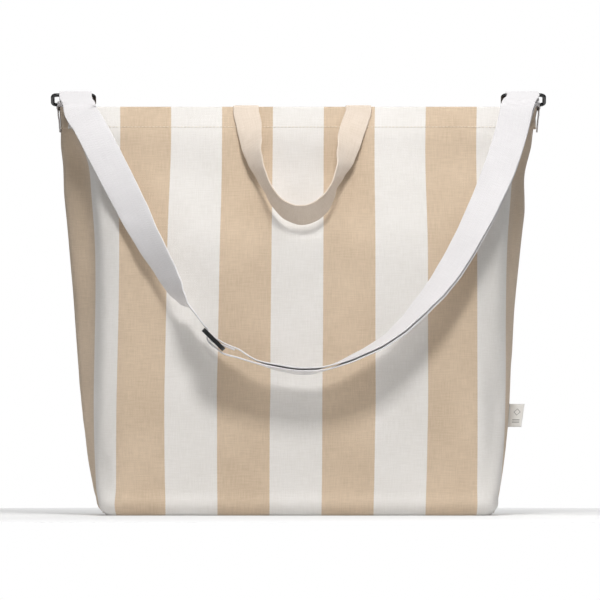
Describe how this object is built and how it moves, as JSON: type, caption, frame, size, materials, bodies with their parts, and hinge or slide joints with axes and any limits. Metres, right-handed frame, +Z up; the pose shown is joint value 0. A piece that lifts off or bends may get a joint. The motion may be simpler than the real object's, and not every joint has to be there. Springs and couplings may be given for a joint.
{
  "type": "tote bag",
  "caption": "Large striped canvas tote bag with two hand loops and an adjustable webbing shoulder strap on rings.",
  "frame": {"origin": "centre of the underside of the base, on the surface the bag stands on", "axes": "+Z up, +X to the right along the bag's length, the front faces -Y"},
  "size_m": [0.579, 0.2809, 0.4952],
  "materials": {
    "striped_canvas": "matte",
    "seam_tape": "matte",
    "handle_webbing": "matte",
    "strap_webbing": "matte",
    "black_hardware": "satin",
    "thread": "matte",
    "label_tape": "matte"
  },
  "bodies": {
    "bag": {"front_panel": "striped_canvas", "back_panel": "striped_canvas", "base_panel": "striped_canvas", "front_hem": "striped_canvas", "back_hem": "striped_canvas", "left_side_seam": "seam_tape", "right_side_seam": "seam_tape", "left_corner_seam": "seam_tape", "right_corner_seam": "seam_tape", "front_handle_left_end": "handle_webbing", "front_handle_right_end": "handle_webbing", "back_handle_left_end": "handle_webbing", "back_handle_right_end": "handle_webbing", "left_ring_tab": "strap_webbing", "right_ring_tab": "strap_webbing", "front_hem_stitching": "thread", "back_hem_stitching": "thread", "handle_end_stitching": "thread", "ring_tab_stitching": "thread"},
    "front_hand_loop": {"front_handle": "handle_webbing"},
    "back_hand_loop": {"back_handle": "handle_webbing"},
    "left_strap_ring": {"left_ring": "black_hardware"},
    "right_strap_ring": {"right_ring": "black_hardware"},
    "shoulder_strap": {"strap_upper_run": "strap_webbing", "strap_doubled_run": "strap_webbing"},
    "slider": {"strap_slider": "black_hardware", "strap_threaded_length": "strap_webbing", "strap_sewn_end": "strap_webbing", "sewn_end_stitching": "thread"},
    "label": {"side_label": "label_tape"}
  },
  "joints": [
    {"name": "front_handle_lift", "type": "hinge", "parent": "bag", "child": "front_hand_loop", "pos_m": [0, -0.0625, 0.4752], "axis": [-1, 0, 0], "range_deg": [0, 160]},
    {"name": "back_handle_lift", "type": "hinge", "parent": "bag", "child": "back_hand_loop", "pos_m": [0, 0.0625, 0.4752], "axis": [1, 0, 0], "range_deg": [0, 160]},
    {"name": "left_ring_turn", "type": "hinge", "parent": "bag", "child": "left_strap_ring", "pos_m": [-0.263, 0, 0.4795], "axis": [-1, 0, 0], "range_deg": [0, 60]},
    {"name": "right_ring_turn", "type": "hinge", "parent": "bag", "child": "right_strap_ring", "pos_m": [0.263, 0, 0.4795], "axis": [-1, 0, 0], "range_deg": [0, 60]},
    {"name": "strap_swing", "type": "hinge", "parent": "left_strap_ring", "child": "shoulder_strap", "pos_m": [-0.263, -0.01843, 0.49057], "axis": [-1, 0, 0], "range_deg": [0, 150]},
    {"name": "slider_travel", "type": "slide", "parent": "shoulder_strap", "child": "slider", "axis": [-0.7132, 0, 0.7009], "range_m": [0, 0.02]},
    {"name": "label_fold", "type": "hinge", "parent": "bag", "child": "label", "pos_m": [0.25011, 0, 0.116], "axis": [0.1451, 0, 0.9894], "range_deg": [-80, 80]}
  ],
  "couplings": [
    {"joint": "right_ring_turn", "follows": "left_ring_turn", "ratio": 1}
  ]
}
